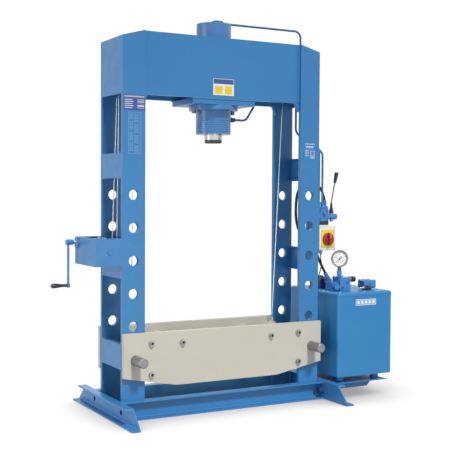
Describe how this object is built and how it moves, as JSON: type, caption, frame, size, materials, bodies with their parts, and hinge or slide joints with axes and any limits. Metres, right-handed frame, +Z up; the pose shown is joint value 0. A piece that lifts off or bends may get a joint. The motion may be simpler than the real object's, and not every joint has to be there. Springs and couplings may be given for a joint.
{
  "type": "hydraulic workshop press",
  "caption": "Two-post hydraulic workshop press with a pinned, winched bed and a lever-operated power unit on its side.",
  "frame": {"origin": "on the floor, at the bottom centre of the whole, 96.5 mm to the right of the ram's axis", "axes": "+X along the press towards the power unit, +Y to the back, +Z up"},
  "size_m": [2.267, 0.992, 2.465],
  "materials": {
    "frame_paint": "semi-gloss blue paint",
    "cylinder_paint": "semi-gloss blue paint",
    "steel": "bright turned steel",
    "dark_steel": "blackened steel",
    "hard_chrome": "ground hard chrome",
    "bronze": "turned bronze",
    "zinc": "zinc plated",
    "wire_rope": "stranded wire",
    "bed_paint": "semi-gloss cream paint",
    "tank_paint": "semi-gloss bright blue paint",
    "pipe_paint": "blue paint over drawn tube",
    "valve_paint": "gloss bright blue paint",
    "black_plastic": "moulded black plastic",
    "black_rubber": "matt black rubber",
    "white_plastic": "moulded white plastic",
    "red_plastic": "moulded red plastic",
    "gauge_steel": "pressed stainless steel"
  },
  "bodies": {
    "press": {"base_beams": "frame_paint", "bed_bolts": "dark_steel", "bed_front_plate": "bed_paint", "bed_rear_plate": "bed_paint", "bed_spacers": "bed_paint", "control_bracket": "frame_paint", "control_valve": "valve_paint", "cross_channels": "frame_paint", "cylinder_barrel": "cylinder_paint", "cylinder_cap": "cylinder_paint", "cylinder_flange": "cylinder_paint", "filter_head": "valve_paint", "filter_plug": "black_plastic", "fittings": "frame_paint", "frame_bolts": "dark_steel", "gauge_case": "gauge_steel", "head_end_plates": "frame_paint", "head_front_plate": "frame_paint", "head_rear_plate": "frame_paint", "left_foot": "frame_paint", "left_rope": "wire_rope", "load_plate": "frame_paint", "oil_tank": "tank_paint", "pump_motor": "valve_paint", "right_foot": "frame_paint", "right_rope": "wire_rope", "rod_gland": "bronze", "sheave_axles": "zinc", "steel_pipes": "pipe_paint", "switch_box": "white_plastic", "switch_cable": "black_rubber", "tank_cover": "tank_paint", "tank_stand": "frame_paint", "upright_front_left": "frame_paint", "upright_front_right": "frame_paint", "upright_rear_left": "frame_paint", "upright_rear_right": "frame_paint", "valve_block": "valve_paint", "valve_hose": "black_rubber", "valve_shelf": "black_plastic", "winch_box": "frame_paint"},
    "ram": {"ram": "hard_chrome", "piston": "steel", "ram_tip": "dark_steel"},
    "left_pin": {"left_pin": "steel"},
    "right_pin": {"right_pin": "steel"},
    "drum": {"rope_drum": "zinc", "drum_windings": "wire_rope"},
    "crank": {"crank_shaft": "zinc", "crank_arm": "frame_paint"},
    "grip": {"crank_grip": "black_plastic"},
    "front_left_sheave": {"front_left_sheave": "zinc"},
    "rear_left_sheave": {"rear_left_sheave": "zinc"},
    "right_sheave": {"right_sheave": "zinc"},
    "lever": {"control_lever": "dark_steel", "lever_boot": "black_rubber", "lever_grip": "black_plastic"},
    "switch": {"switch_knob": "red_plastic"},
    "pointer": {"gauge_pointer": "dark_steel"},
    "relief": {"relief_knob": "black_plastic"}
  },
  "joints": [
    {"name": "ram_slide", "type": "slide", "parent": "press", "child": "ram", "axis": [0, 0, -1], "range_m": [0, 0.4]},
    {"name": "left_pin_slide", "type": "slide", "parent": "press", "child": "left_pin", "axis": [0, -1, 0], "range_m": [0, 0.45]},
    {"name": "right_pin_slide", "type": "slide", "parent": "press", "child": "right_pin", "axis": [0, -1, 0], "range_m": [0, 0.45]},
    {"name": "drum_spin", "type": "hinge", "parent": "press", "child": "drum", "pos_m": [-0.7565, 0.05842, 1.018], "axis": [1, 0, 0], "continuous": true, "deforming": ["right_rope", "left_rope"]},
    {"name": "crank_spin", "type": "hinge", "parent": "press", "child": "crank", "pos_m": [-0.8965, 0.14, 1.056], "axis": [1, 0, 0], "continuous": true},
    {"name": "grip_spin", "type": "hinge", "parent": "crank", "child": "grip", "pos_m": [-1.0765, 0.14, 0.791], "axis": [1, 0, 0], "continuous": true},
    {"name": "front_left_sheave_spin", "type": "hinge", "parent": "press", "child": "front_left_sheave", "pos_m": [-0.6565, 0.098, 2.18], "axis": [0, 1, 0], "continuous": true},
    {"name": "rear_left_sheave_spin", "type": "hinge", "parent": "press", "child": "rear_left_sheave", "pos_m": [-0.6565, 0.12, 2.18], "axis": [0, 1, 0], "continuous": true},
    {"name": "right_sheave_spin", "type": "hinge", "parent": "press", "child": "right_sheave", "pos_m": [0.4625, 0.12, 2.18], "axis": [0, 1, 0], "continuous": true},
    {"name": "lever_tilt", "type": "hinge", "parent": "press", "child": "lever", "pos_m": [0.7525, -0.11, 1.222], "axis": [0, 1, 0], "range_deg": [-14, 14], "stiffness_Nm_per_rad": 20},
    {"name": "switch_turn", "type": "hinge", "parent": "press", "child": "switch", "pos_m": [0.6765, -0.1833, 1.059], "axis": [0, -1, 0], "range_deg": [0, 90]},
    {"name": "pointer_turn", "type": "hinge", "parent": "press", "child": "pointer", "pos_m": [0.8065, -0.135, 0.922], "axis": [0.342, 0.9397, 0], "range_deg": [0, 270], "stiffness_Nm_per_rad": 0.02},
    {"name": "relief_turn", "type": "hinge", "parent": "press", "child": "relief", "pos_m": [0.9318, -0.095, 0.774], "axis": [1, 0, 0], "range_deg": [-180, 180]}
  ],
  "couplings": [
    {"joint": "crank_spin", "follows": "drum_spin", "ratio": -2.3333},
    {"joint": "front_left_sheave_spin", "follows": "drum_spin", "ratio": 0.86042},
    {"joint": "rear_left_sheave_spin", "follows": "drum_spin", "ratio": 0.86042},
    {"joint": "right_sheave_spin", "follows": "drum_spin", "ratio": 0.86042}
  ]
}
